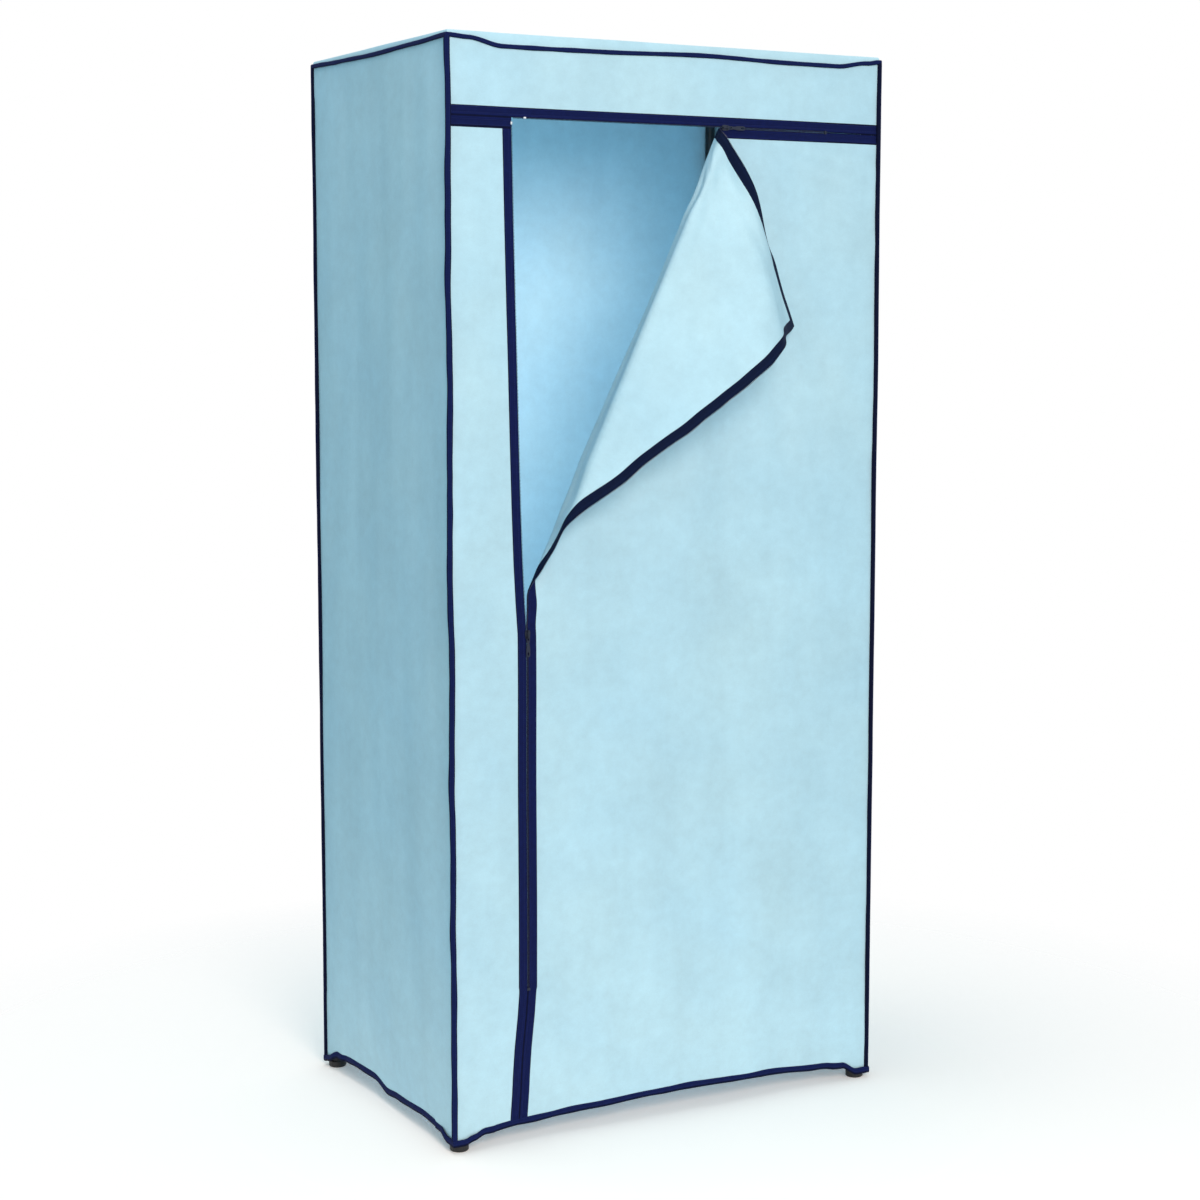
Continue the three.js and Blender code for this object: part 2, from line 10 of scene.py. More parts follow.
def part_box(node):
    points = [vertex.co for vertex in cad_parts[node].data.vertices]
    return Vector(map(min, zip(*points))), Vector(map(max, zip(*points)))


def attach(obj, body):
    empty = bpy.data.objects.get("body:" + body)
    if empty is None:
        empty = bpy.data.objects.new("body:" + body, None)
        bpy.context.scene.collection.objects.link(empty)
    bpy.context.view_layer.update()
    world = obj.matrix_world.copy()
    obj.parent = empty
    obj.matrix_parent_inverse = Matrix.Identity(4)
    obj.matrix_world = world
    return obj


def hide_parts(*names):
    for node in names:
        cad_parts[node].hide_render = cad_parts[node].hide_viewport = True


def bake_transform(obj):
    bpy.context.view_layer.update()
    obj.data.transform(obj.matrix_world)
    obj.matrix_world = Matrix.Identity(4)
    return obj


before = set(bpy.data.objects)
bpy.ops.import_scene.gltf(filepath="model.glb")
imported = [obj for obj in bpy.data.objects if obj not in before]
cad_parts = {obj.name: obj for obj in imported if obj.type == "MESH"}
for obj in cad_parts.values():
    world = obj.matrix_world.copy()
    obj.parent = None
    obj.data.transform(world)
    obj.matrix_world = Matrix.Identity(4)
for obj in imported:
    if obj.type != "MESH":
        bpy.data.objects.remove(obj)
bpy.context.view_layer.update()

MM = 0.001

# Places and sizes that the frame fixes, in metres
cover_low, cover_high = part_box("roof_cloth")
WIDTH = cover_high.x - cover_low.x
DEPTH = cover_high.y - cover_low.y
TOP = cover_high.z
FRONT = cover_low.y
TAPE = 14 * MM
HALF_GAP = 1 * MM
TAPE_FAR = HALF_GAP + TAPE
LEVEL_ZIP = TOP - 117 * MM
BAND_LOW = LEVEL_ZIP - TAPE_FAR
BAND_HIGH = LEVEL_ZIP + TAPE_FAR
LAP = 1.5 * MM
CLOTH = 0.8 * MM
CLOTH_MIDDLE = 0.75 * MM
TAPE_THICK = 1.5 * MM


def table(pairs):
    """A smooth curve through pairs of place and value, both in millimetres."""
    xs = np.array([p[0] for p in pairs], float) * MM
    ys = np.array([p[1] for p in pairs], float) * MM

    def value(x):
        x = np.clip(np.asarray(x, float), xs[0], xs[-1])
        k = np.clip(np.searchsorted(xs, x, side="right") - 1, 0, len(xs) - 2)
        t = (x - xs[k]) / (xs[k + 1] - xs[k])
        t = t * t * (3 - 2 * t)
        return ys[k] + (ys[k + 1] - ys[k]) * t

    return value


def smooth_step(x):
    t = np.clip(x, 0.0, 1.0)
    return t * t * (3 - 2 * t)


# The upright zip's place from the left edge, by height
ZIP_TABLE = np.array([
    (0, 106), (41, 107), (100, 109.5), (140, 112.5), (190, 118), (229, 121),
    (753, 121), (800, 118), (860, 115), (930, 112.5), (1218, 105), (1483, 100), (1600, 99),
]) * MM
ZIP_FOOT = 231 * MM
ZIP_END = WIDTH - 100 * MM
SLIDER_TOP = 760 * MM
SHUT_GAP = 0.1 * MM
PARTING = 4 * MM
SPREAD = 4.5 * MM
SPREAD_RISE = 42 * MM


def zip_place(height):
    return np.interp(height, ZIP_TABLE[:, 0], ZIP_TABLE[:, 1])


def half_gap(past_stop):
    """Half the gap between two tapes, which closes just short of the stop."""
    return SHUT_GAP + (HALF_GAP - SHUT_GAP) * smooth_step((past_stop + PARTING) / PARTING)


def strip_edge(height):
    """The strip's tape edge beside the upright zip's line."""
    return zip_place(height) - half_gap(height - ZIP_FOOT)


def door_edge(height):
    """The door's tape edge, which leaves the line just above the slider."""
    spread = SPREAD * smooth_step((height - SLIDER_TOP) / SPREAD_RISE)
    spread = spread * smooth_step((LEVEL_ZIP - height) / 0.3)
    return zip_place(height) + half_gap(height - ZIP_FOOT) + spread


def level_gap(along):
    return half_gap(ZIP_END - along)


# Height of the hem's binding and of the roof's binding along each wall, from its left end
HEMS = [
    table([(0, 15), (16, 15), (30, 20), (51, 26), (110, 30), (230, 34), (344, 37),
           (414, 38), (534, 35), (640, 29), (683, 25), (709, 12), (730, 12)]),
    table([(0, 12), (18, 14), (60, 28), (150, 32), (240, 35), (330, 33), (420, 28),
           (462, 17), (480, 15)]),
    table([(0, 15), (20, 17), (58, 26), (180, 34), (300, 36), (420, 33), (520, 35),
           (670, 27), (712, 14), (730, 11)]),
    table([(0, 11), (14, 15), (48, 28), (116, 32), (181, 31), (231, 21.5), (274, 25),
           (362, 28), (440, 23), (462, 16), (480, 15)]),
]
TOPS = [
    table([(0, 1592), (32, 1590), (86, 1580.5), (242, 1581), (414, 1585), (560, 1582),
           (651, 1582), (705, 1589), (730, 1592)]),
    table([(0, 1592), (90, 1589), (240, 1588), (390, 1590), (480, 1592)]),
    table([(0, 1592), (80, 1583), (300, 1582), (480, 1584), (650, 1583), (730, 1592)]),
    table([(0, 1592), (110, 1590), (240, 1588), (380, 1590), (480, 1592)]),
]
HEM_BAND = 10.5 * MM
ROOF_BAND = 6.5 * MM


class Wall:
    def __init__(self, index, start, along, length):
        self.index = index
        self.start = np.array([start[0], start[1], 0.0])
        self.along = np.array([along[0], along[1], 0.0])
        self.outward = np.array([along[1], -along[0], 0.0])
        self.length = length
        self.hem = HEMS[index]
        self.top = TOPS[index]


WALLS = [
    Wall(0, (cover_low.x, cover_low.y), (1, 0), WIDTH),
    Wall(1, (cover_high.x, cover_low.y), (0, 1), DEPTH),
    Wall(2, (cover_high.x, cover_high.y), (-1, 0), WIDTH),
    Wall(3, (cover_low.x, cover_high.y), (0, -1), DEPTH),
]
UP = np.array([0.0, 0.0, 1.0])

# How far the cloth stands out or in: the whole cover's lean, broad waves, ripples, the tuck over the hem
# and the roundness at the corners
SETTLE = 0.6 * MM
WAVES = 4.4 * MM
RIPPLES = 1.3 * MM
TUCK = 3.2 * MM
ROUNDNESS = 1.4 * MM
# How far the connectors' sleeves reach: up from the floor, down from the top, and in from each corner
SLEEVE_UP, SLEEVE_DOWN, SLEEVE_IN = 0.145, 0.075, 0.085
SLEEVE_PLAY = 0.35 * MM
FREE_PLAY = 12 * MM


def scalar_noise(xs, ys, seed):
    return np.array([noise.noise((x, y, seed)) for x, y in zip(xs, ys)])


def line_noise(place, row, seed):
    return scalar_noise(place, place * 0 + row, seed)


def settle(places):
    """Small lean and waver of the whole cover, the same for every piece at a place. noise_vector has no set
    seed here, so the lean differs a little from run to run."""
    return np.array([noise.noise_vector(Vector(p) / 0.16) for p in places]) * SETTLE


def relief(wall, s, h):
    """How far the hanging cloth stands out from the wall's flat face."""
    waves = scalar_noise(s / 0.13, h / 0.62, 3.1 + wall.index * 5.7) * WAVES
    waves += scalar_noise(s / 0.045, h / 0.24, 9.4 + wall.index * 2.3) * RIPPLES
    to_side = np.minimum(s, wall.length - s)
    to_top = wall.top(s) - h
    still = smooth_step(to_side / 0.07) * smooth_step(to_top / 0.06)
    if wall.index == 0:
        upright = np.abs(s - zip_place(h))
        level = np.abs(h - LEVEL_ZIP)
        still = still * smooth_step((upright - 0.004) / 0.07) * smooth_step((level - 0.004) / 0.06)
    tuck = smooth_step((0.088 - h) / 0.07) * smooth_step((to_side - 0.02) / 0.06) * TUCK
    rounding = np.exp(-to_side / 0.012) * ROUNDNESS
    return waves * still - tuck - rounding


def on_wall(wall, flat):
    """Flat places (along, height, out) to places on the wall. The corner sleeves hold the cloth out."""
    s, h, z = flat[:, 0], flat[:, 1], flat[:, 2]
    place = wall.start + np.outer(s, wall.along) + np.outer(h, UP)
    moved = settle(place)
    sway = moved @ wall.outward
    to_side = np.minimum(s, wall.length - s)
    by_sleeve = np.maximum(smooth_step((SLEEVE_UP - h) / 0.03),
                           smooth_step((h - TOP + SLEEVE_DOWN) / 0.02))
    by_sleeve = by_sleeve * smooth_step((SLEEVE_IN - to_side) / 0.02)
    lowest = -SLEEVE_PLAY - (1 - by_sleeve) * FREE_PLAY
    out = z - CLOTH_MIDDLE + np.maximum(relief(wall, s, h) + sway, lowest)
    return place + moved + np.outer(out - sway, wall.outward)


# The folded corner of the door: three fold lines, and the two lines between them where the pieces meet

TURN_STEPS = 40


def flat_point(along, height):
    return np.array([cover_low.x + along, FRONT, height])


class Fold:
    """A fold line down from the level zip. The cloth bends from before it to after it."""

    def __init__(self, inset, drop, angle, before, after, widen, body_a, body_b):
        self.angle = math.radians(angle)
        self.start = flat_point(inset * MM, LEVEL_ZIP)
        low = LEVEL_ZIP - drop * MM
        self.foot = flat_point(float(zip_place(low)), low)
        self.length = float(np.linalg.norm(self.foot - self.start))
        self.along = (self.foot - self.start) / self.length
        self.across = np.array([self.along[2], 0.0, -self.along[0]])
        self.before, self.after, self.widen = before * MM, after * MM, widen
        self.body_a, self.body_b = body_a, body_b

    def turn(self, places):
        """The angle that each flat place is turned by. A turn back by the same share lays it flat."""
        away = places - self.start
        t = away @ self.across
        share = np.clip((away @ self.along) / self.length, 0, 1)
        before, after = (reach * (1 + (more - 1) * share)
                         for reach, more in zip((self.before, self.after), self.widen))
        half = self.angle / 2
        phi = self.angle * smooth_step((t + before) / (before + after))
        for _ in range(TURN_STEPS):
            reach = t * np.cos(phi - half) / math.cos(half) + before
            phi = (phi + self.angle * smooth_step(reach / (before + after))) / 2
        return phi

    def turned(self, places, phi):
        away = places - self.start
        c, s = np.cos(-phi)[:, None], np.sin(-phi)[:, None]
        d = self.along
        return self.start + away * c + np.cross(d, away) * s + np.outer(away @ d, d) * (1 - c)

    def crease(self, share):
        """A line across the bend at a share of its width: a point on it and its flat normal."""
        a = self.start + self.across * (self.after * share - self.before * (1 - share))
        before, after = self.before * self.widen[0], self.after * self.widen[1]
        b = self.foot + self.across * (after * share - before * (1 - share))
        line = (b - a) / np.linalg.norm(b - a)
        return a, np.array([line[2], 0.0, -line[0]])

    def blend_ends(self, index):
        """Two points on the bend's bisector, at the two ends of its width, folded with the parts before it.
        """
        half = self.angle / 2
        bisector = self.across * math.cos(half) + np.array([0.0, -1.0, 0.0]) * math.sin(half)
        a = folded_rigid(self.start - bisector * self.before * math.cos(half), index)
        b = folded_rigid(self.start + bisector * self.after * math.cos(half), index)
        return tuple(a), tuple(b)


FOLDS = [
    Fold(443, 682, 77, 8.6, 9.2, (2.4, 2.4), "wardrobe_body", "door_fold"),
    Fold(422, 563, 78, 9.0, 24, (2.4, 1.6), "door_fold", "door_leaf"),
    Fold(392, 164, 62, 4, 50, (20, 2.2), "door_leaf", "door_corner"),
]
MEETINGS = [
    (flat_point(432.5 * MM, LEVEL_ZIP), flat_point(float(zip_place(0.8605)), 0.8605)),
    (flat_point(397 * MM, LEVEL_ZIP), flat_point(float(zip_place(1.120)), 1.120)),
]


def fold_over(places, region):
    """Flat places of the door to their folded places, in one of the regions 0, 1 and 2."""
    for index in (2, 1, 0):
        fold = FOLDS[index]
        if region > index:
            phi = np.full(len(places), fold.angle)
        elif region == index:
            phi = fold.turn(places)
        else:
            continue
        places = fold.turned(places, phi)
    return places


def folded_rigid(point, upto):
    places = np.array([point])
    for index in reversed(range(upto)):
        places = FOLDS[index].turned(places, np.full(1, FOLDS[index].angle))
    return places[0]


# The door's waves out of its plane, in millimetres: along its side edge and its top edge, the creases
# from the top slider, and the belly
SIDE_WAVE, LEVEL_WAVE, CREASES, BELLY = 7.0, 4.0, 3.0, 8.0
# Its edges' sway in the plane, its top edge's sag, how far its side edge is drawn in, the height above which
# that edge is free, and the place along the level zip that the creases run from, in metres
SIDE_SWAY, LEVEL_SWAY = 5.0 * MM, 3.0 * MM
SAG = 11.0 * MM
DRAWN_IN = 14.0 * MM
FREE_ABOVE = 0.84
HELD_AT = 0.45


def flutter(flat):
    """The door's flat places with small waves along its free edges, none where the zips stay shut."""
    s, h = flat[:, 0], flat[:, 1]
    down = np.maximum(LEVEL_ZIP - h, 0)
    beside = np.abs(s - zip_place(h))
    calm = 1 - 0.8 * np.exp(-(np.hypot(beside, down) / 0.06) ** 2)
    side = np.exp(-beside / 0.05) * smooth_step((h - FREE_ABOVE) / 0.12) * calm
    level = np.exp(-down / 0.05) * smooth_step((0.30 - s) / 0.10) * calm
    from_slider = np.hypot(s - HELD_AT, LEVEL_ZIP - h)
    ray = np.arctan2(LEVEL_ZIP - h, HELD_AT - s)
    pulls = scalar_noise(ray * 9.0, from_slider / 0.4, 6.1) * smooth_step(from_slider / 0.2)
    pulls = pulls * smooth_step((0.75 - from_slider) / 0.2)
    belly = np.sin(np.pi * np.clip(ray / math.radians(46) - 0.3, 0, 1)) ** 2
    belly = belly * smooth_step(from_slider / 0.3)
    proud = smooth_step((0.42 - s) / 0.05) * smooth_step((s - 0.24) / 0.09)
    proud = proud * smooth_step((0.13 - down) / 0.07)
    stand = proud * (2 - 11 * smooth_step(down / 0.028)) * MM
    sag = smooth_step((0.43 - s) / 0.10) * smooth_step((s - 0.18) / 0.08)
    sag = sag * smooth_step((0.15 - down) / 0.14)
    drawn_in = np.exp(-((down - 0.10) / 0.08) ** 2 - (beside / 0.12) ** 2)
    out = line_noise(h / 0.052, 4.2, 7.7) * side * SIDE_WAVE
    out += line_noise(s / 0.06, 1.3, 2.9) * level * LEVEL_WAVE
    moved = flat.copy()
    moved[:, 0] += drawn_in * DRAWN_IN + line_noise(h / 0.047, 8.8, 3.3) * side * SIDE_SWAY
    moved[:, 1] += line_noise(s / 0.05, 5.1, 4.6) * level * LEVEL_SWAY - sag * SAG
    moved[:, 2] += (out + pulls * CREASES - belly * BELLY) * MM - stand
    return moved


def door_place(flat, region):
    return fold_over(on_wall(WALLS[0], flutter(flat)), region)


# Flat cutting: sheets are made flat in (along, height), cut, thickened, and then hung

def flat_sheet(left, right, low, high, step=None, rows=None, columns=None):
    """A grid between two edges by height and two edges by place along, by a step or by counts."""
    bm = bmesh.new()
    middle = (float(left(1.0)) + float(right(1.0))) / 2
    tall = float(high(middle)) - float(low(middle))
    wide = float(right(1.0)) - float(left(1.0))
    rows = rows or max(1, round(tall / step))
    columns = columns or max(1, round(wide / step))
    bmesh.ops.create_grid(bm, x_segments=columns, y_segments=rows, size=0.5)
    co = np.array([v.co for v in bm.verts])
    u, t = co[:, 0] + 0.5, co[:, 1] + 0.5
    h = float(low(middle)) + tall * t
    for _ in range(3):
        s = left(h) + (right(h) - left(h)) * u
        h = low(s) + (high(s) - low(s)) * t
    for v, a, b in zip(bm.verts, s, h):
        v.co = (a, b, 0)
    return bm


def cut(bm, point, normal, keep_positive):
    geom = bm.verts[:] + bm.edges[:] + bm.faces[:]
    bmesh.ops.bisect_plane(bm, geom=geom, dist=1e-6, plane_co=point, plane_no=normal,
                           clear_outer=not keep_positive, clear_inner=keep_positive)


def score(bm, point, normal):
    geom = bm.verts[:] + bm.edges[:] + bm.faces[:]
    bmesh.ops.bisect_plane(bm, geom=geom, dist=1e-5, plane_co=point, plane_no=normal)


def in_flat(point):
    return Vector((point[0] - cover_low.x, point[2], 0))


def normal_in_flat(normal):
    return Vector((normal[0], normal[2], 0)).normalized()


def meeting_plane(index):
    a, b = MEETINGS[index]
    line = b - a
    return in_flat(a), normal_in_flat(np.array([line[2], 0.0, -line[0]]))


def thicken(bm, thickness):
    uv = bm.loops.layers.uv.get("flat") or bm.loops.layers.uv.new("flat")
    for face in bm.faces:
        for loop in face.loops:
            if loop[uv].uv.length == 0:
                loop[uv].uv = loop.vert.co.xy
    bmesh.ops.translate(bm, verts=bm.verts[:], vec=(0, 0, thickness / 2))
    made = bmesh.ops.extrude_face_region(bm, geom=bm.faces[:], use_keep_orig=True)
    below = [e for e in made["geom"] if isinstance(e, bmesh.types.BMVert)]
    bmesh.ops.translate(bm, verts=below, vec=(0, 0, -thickness))
    bmesh.ops.recalc_face_normals(bm, faces=bm.faces[:])


def hung(bm, hang):
    co = np.array([v.co for v in bm.verts])
    for v, p in zip(bm.verts, hang(co)):
        v.co = p


def finish_piece(name, bm, material, stands_for=(), sharp=40, reverse=None):
    mesh = bpy.data.meshes.new(name)
    bm.to_mesh(mesh)
    bm.free()
    mesh.polygons.foreach_set("use_smooth", [True] * len(mesh.polygons))
    mesh.set_sharp_from_angle(angle=math.radians(sharp))
    mesh.materials.append(material)
    if reverse:
        mesh.materials.append(reverse)
    piece = bpy.data.objects.new(name, mesh)
    bpy.context.scene.collection.objects.link(piece)
    if stands_for:
        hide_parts(*stands_for)
    return piece


def flat_size(bm):
    area = sum(f.calc_area() for f in bm.faces)
    co = np.array([v.co[:2] for v in bm.verts])
    best = None
    for turn in np.radians(np.arange(0, 90, 3)):
        c, s = math.cos(turn), math.sin(turn)
        spun = co @ np.array([[c, -s], [s, c]])
        size = spun.max(0) - spun.min(0)
        if best is None or size[0] * size[1] < best[0] * best[1]:
            best = size
    return (float(best[0]), float(best[1])), float(area)


# The three parts that the door is cut into
DOOR_PARTS = ("panel", "roll", "corner")


def raise_profile(bm, profile):
    """Lifts the outer face of a tape by its distance from the teeth."""
    outer = [v for v in bm.verts if v.co.z > 0]
    co = np.array([v.co for v in outer])
    for v, lift in zip(outer, tape_profile(profile(co[:, 0], co[:, 1]))):
        v.co.z += lift


def wall_piece(name, wall, bm, thickness, material, stands_for, profile=None):
    flat, area = flat_size(bm)
    bmesh.ops.triangulate(bm, faces=[f for f in bm.faces if len(f.verts) > 4])
    thicken(bm, thickness)
    if profile:
        raise_profile(bm, profile)
    hung(bm, lambda co: on_wall(wall, co))
    piece = finish_piece(name, bm, material, stands_for)
    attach(piece, "wardrobe_body")


# The shares of a bend's width where the cloth is scored, so that it bends smoothly
BEND_LINES = (0.0, 0.1, 0.2, 0.32, 0.44, 0.56, 0.68, 0.8, 0.9, 1.0)


def door_pieces(name, bm, thickness, material, stands_for, profile=None, reverse=None):
    """Cuts a flat piece of the door at the two meetings, folds the parts and bends each at its joint."""
    for fold in FOLDS:
        for share in BEND_LINES:
            point, normal = fold.crease(share)
            score(bm, in_flat(point), normal_in_flat(normal))
    for region, part in enumerate(DOOR_PARTS):
        piece_bm = bm.copy()
        if region > 0:
            cut(piece_bm, *meeting_plane(region - 1), keep_positive=True)
        if region < 2:
            cut(piece_bm, *meeting_plane(region), keep_positive=False)
        flat, area = flat_size(piece_bm)
        bmesh.ops.triangulate(piece_bm, faces=[f for f in piece_bm.faces if len(f.verts) > 4])
        thicken(piece_bm, thickness)
        # Faces on the reverse of a door tape take a darker copy of its material: painted shade
        if reverse:
            for face in piece_bm.faces:
                face.material_index = int(max(v.co.z for v in face.verts) < 0)
        if profile:
            raise_profile(piece_bm, profile)
        hung(piece_bm, lambda co: door_place(co, region))
        piece = finish_piece(f"{name}_{part}", piece_bm, material, stands_for[region],
                             reverse=reverse)
        start, end = FOLDS[region].blend_ends(region)
        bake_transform(piece)
    bm.free()


# Materials

def linear(red, green, blue):
    def one(c):
        c = c / 255
        return c / 12.92 if c <= 0.04045 else ((c + 0.055) / 1.055) ** 2.4
    return (one(red), one(green), one(blue), 1.0)


def node(tree, kind, inputs=None, **settings):
    made = tree.nodes.new(kind)
    for key, value in settings.items():
        setattr(made, key, value)
    for key, value in (inputs or {}).items():
        if isinstance(value, bpy.types.NodeSocket):
            tree.links.new(value, made.inputs[key])
        else:
            made.inputs[key].default_value = value
    return made


def math_node(tree, operation, a, b=0.0):
    return node(tree, "ShaderNodeMath", {0: a, 1: b}, operation=operation).outputs[0]


def plain_material(name):
    material = bpy.data.materials.new(name)
    material.use_nodes = True
    tree = material.node_tree
    return material, tree, tree.nodes["Principled BSDF"]


def new_group(name, inputs, outputs):
    group = bpy.data.node_groups.new(name, "ShaderNodeTree")
    for label, kind, value in inputs:
        socket = group.interface.new_socket(label, in_out="INPUT", socket_type=kind)
        if value is not None:
            socket.default_value = value
    for label, kind in outputs:
        group.interface.new_socket(label, in_out="OUTPUT", socket_type=kind)
    given, out = (group.nodes.new(kind) for kind in ("NodeGroupInput", "NodeGroupOutput"))
    return group, given.outputs, out.inputs


def placed(tree, group, inputs):
    return node(tree, "ShaderNodeGroup", inputs, node_tree=group)


def times(tree, a, b):
    return math_node(tree, "MULTIPLY", a, b)


def summed(tree, first, *others):
    for other in others:
        first = math_node(tree, "ADD", first, other)
    return first


def swing(tree, value, amount):
    """A noise's value about its middle, times an amount."""
    return times(tree, math_node(tree, "SUBTRACT", value, 0.5), amount)


def noise_node(tree, place, scale, detail, **inputs):
    found = {"Vector": place, "Scale": scale, "Detail": detail, **inputs}
    return node(tree, "ShaderNodeTexNoise", found).outputs[0]


def mixed_color(tree, share, first, second, **settings):
    found = {0: share, 6: first, 7: second}
    return node(tree, "ShaderNodeMix", found, data_type="RGBA", **settings).outputs[2]


def shaded(tree, color, red, green, blue):
    """A colour times a shade for each of its three parts."""
    shades = node(tree, "ShaderNodeCombineColor", {0: red, 1: green, 2: blue}).outputs[0]
    return mixed_color(tree, 1.0, color, shades, blend_type="MULTIPLY")


# The woven tape's rib and warp pitch, its stitch length and half its thread's width, in metres
RIB = 0.9 * MM
WARP = 0.7 * MM
STITCH = 3.2 * MM
THREAD_HALF = 0.45 * MM


def bonded_fibre_group():
    """Non-woven cloth: soft cloudy mottle, long fibres and a lattice of small pressed points."""
    group, given, out = new_group(
        "bonded_fibre",
        [("Place", "NodeSocketVector", None), ("Color", "NodeSocketColor", (0.5, 0.7, 0.8, 1)),
         ("Mottle", "NodeSocketFloat", 0.04)],
        [("Color", "NodeSocketColor"), ("Height", "NodeSocketFloat"), ("Roughness", "NodeSocketFloat")],
    )
    place = given["Place"]
    hanging = node(group, "ShaderNodeMapping", {"Vector": place, "Scale": (17.0, 1.6, 1.0)})
    stretched = node(group, "ShaderNodeMapping", {"Vector": place, "Scale": (420.0, 2600.0, 1.0)})
    cloud = noise_node(group, place, 7.0, 5.0, Roughness=0.62)
    patch = noise_node(group, place, 48.0, 5.0, Roughness=0.68)
    streak = noise_node(group, hanging.outputs[0], 1.0, 3.0)
    fibre = noise_node(group, stretched.outputs[0], 1.0, 3.0, Distortion=1.2)
    drift = noise_node(group, place, 5.0, 3.0)
    points = node(group, "ShaderNodeTexVoronoi", {"Vector": place, "Scale": 620.0, "Randomness": 0.12})
    pressed = math_node(group, "LESS_THAN", points.outputs["Distance"], 0.3)
    both = summed(group, swing(group, cloud, 1.0), swing(group, patch, 0.8), swing(group, streak, 0.5))
    shift = times(group, summed(group, both, swing(group, fibre, 0.7)), given["Mottle"])
    bright = summed(group, shift, 1.0)
    warm, cool = (times(group, bright, summed(group, swing(group, drift, amount), 1.0))
                  for amount in (-0.10, 0.08))
    group.links.new(shaded(group, given["Color"], warm, bright, cool), out["Color"])
    height = summed(group, times(group, fibre, 0.6), times(group, pressed, -0.35),
                    times(group, patch, 0.5))
    group.links.new(height, out["Height"])
    group.links.new(summed(group, times(group, both, 0.2), 0.82), out["Roughness"])
    return group


def woven_tape_group():
    """Narrow woven cloth with rows of stitching: fine ribs across, thread dashes along. Its shade is
    multiplied by painted light given across its width, which is painted shade and painted highlight.
    """
    group, given, out = new_group(
        "woven_tape",
        [("Place", "NodeSocketVector", None), ("Color", "NodeSocketColor", (0.02, 0.02, 0.1, 1)),
         ("Thread", "NodeSocketColor", (0.05, 0.05, 0.2, 1)), ("Row", "NodeSocketFloat", 0.002),
         ("Second row", "NodeSocketFloat", 0.0115), ("Painted light", "NodeSocketFloat", 1.0)],
        [("Color", "NodeSocketColor"), ("Height", "NodeSocketFloat")],
    )
    across, along = node(group, "ShaderNodeSeparateXYZ", {0: given["Place"]}).outputs[:2]
    rib = math_node(group, "SINE", times(group, along, 2 * math.pi / RIB))
    warp = math_node(group, "SINE", times(group, across, 2 * math.pi / WARP))
    weave = times(group, rib, warp)
    wear = noise_node(group, given["Place"], 130.0, 3.0)
    stitch = math_node(group, "FRACT", math_node(group, "DIVIDE", along, STITCH))
    dash = math_node(group, "LESS_THAN", stitch, 0.72)

    def row(place):
        off = math_node(group, "ABSOLUTE", math_node(group, "SUBTRACT", across, place))
        return times(group, math_node(group, "LESS_THAN", off, THREAD_HALF), dash)

    thread = math_node(group, "MAXIMUM", row(given["Row"]), row(given["Second row"]))
    shade = summed(group, times(group, weave, 0.1), times(group, wear, 0.7), 0.65)
    # The painted light across the width: painted shade in grooves and on turned edges, painted highlight on
    # raised parts
    shade = times(group, shade, given["Painted light"])
    cloth = shaded(group, given["Color"], shade, shade, shade)
    group.links.new(mixed_color(group, thread, cloth, given["Thread"]), out["Color"])
    group.links.new(summed(group, times(group, weave, 0.3), thread), out["Height"])
    return group


BONDED = bonded_fibre_group()
WOVEN = woven_tape_group()


def flat_place(tree):
    return node(tree, "ShaderNodeUVMap", uv_map="flat").outputs[0]


def object_place(tree):
    return node(tree, "ShaderNodeTexCoord").outputs["Object"]


def bump_to(tree, bsdf, height, strength, distance):
    bump = node(tree, "ShaderNodeBump", {"Height": height, "Strength": strength, "Distance": distance})
    tree.links.new(bump.outputs[0], bsdf.inputs["Normal"])


def cloth_material(name, color):
    material, tree, bsdf = plain_material(name)
    surface = placed(tree, BONDED, {"Place": flat_place(tree), "Color": color, "Mottle": 0.27})
    tree.links.new(surface.outputs["Color"], bsdf.inputs["Base Color"])
    tree.links.new(surface.outputs["Roughness"], bsdf.inputs["Roughness"])
    bsdf.inputs["Specular IOR Level"].default_value = 0.25
    bsdf.inputs["Sheen Weight"].default_value = 0.04
    bsdf.inputs["Sheen Roughness"].default_value = 0.5
    bump_to(tree, bsdf, surface.outputs["Height"], 0.35, 0.15 * MM)
    return material


def tape_material(name, color, thread, row, second_row, width, painted_light_levels):
    """Painted light across the tape: how light the cloth is painted at shares of its width, with painted
    shade in the grooves and on the turned edges and a painted highlight where it is raised.
    """
    material, tree, bsdf = plain_material(name)
    place = flat_place(tree)
    across = node(tree, "ShaderNodeSeparateXYZ", {0: place}).outputs[0]
    # A ramp of painted shade and painted highlight across the tape's width
    lines = node(tree, "ShaderNodeValToRGB", {0: math_node(tree, "DIVIDE", across, width)})
    stops = lines.color_ramp.elements
    for share, level in painted_light_levels[1:-1]:
        stops.new(share).color = (level, level, level, 1)
    stops[0].color = (*[painted_light_levels[0][1]] * 3, 1)
    stops[-1].color = (*[painted_light_levels[-1][1]] * 3, 1)
    surface = placed(tree, WOVEN, {"Place": place, "Color": color, "Thread": thread,
                                   "Row": row, "Second row": second_row, "Painted light": lines.outputs[0]})
    tree.links.new(surface.outputs["Color"], bsdf.inputs["Base Color"])
    bsdf.inputs["Roughness"].default_value = 0.85
    bsdf.inputs["Specular IOR Level"].default_value = 0.12
    bump_to(tree, bsdf, surface.outputs["Height"], 0.4, 0.25 * MM)
    return material


def coil_material():
    material, tree, bsdf = plain_material("zip_coil")
    grain = noise_node(tree, object_place(tree), 900.0, 2.0)
    color = mixed_color(tree, grain, linear(10, 14, 44), linear(20, 26, 66))
    tree.links.new(color, bsdf.inputs["Base Color"])
    bsdf.inputs["Roughness"].default_value = 0.38
    return material


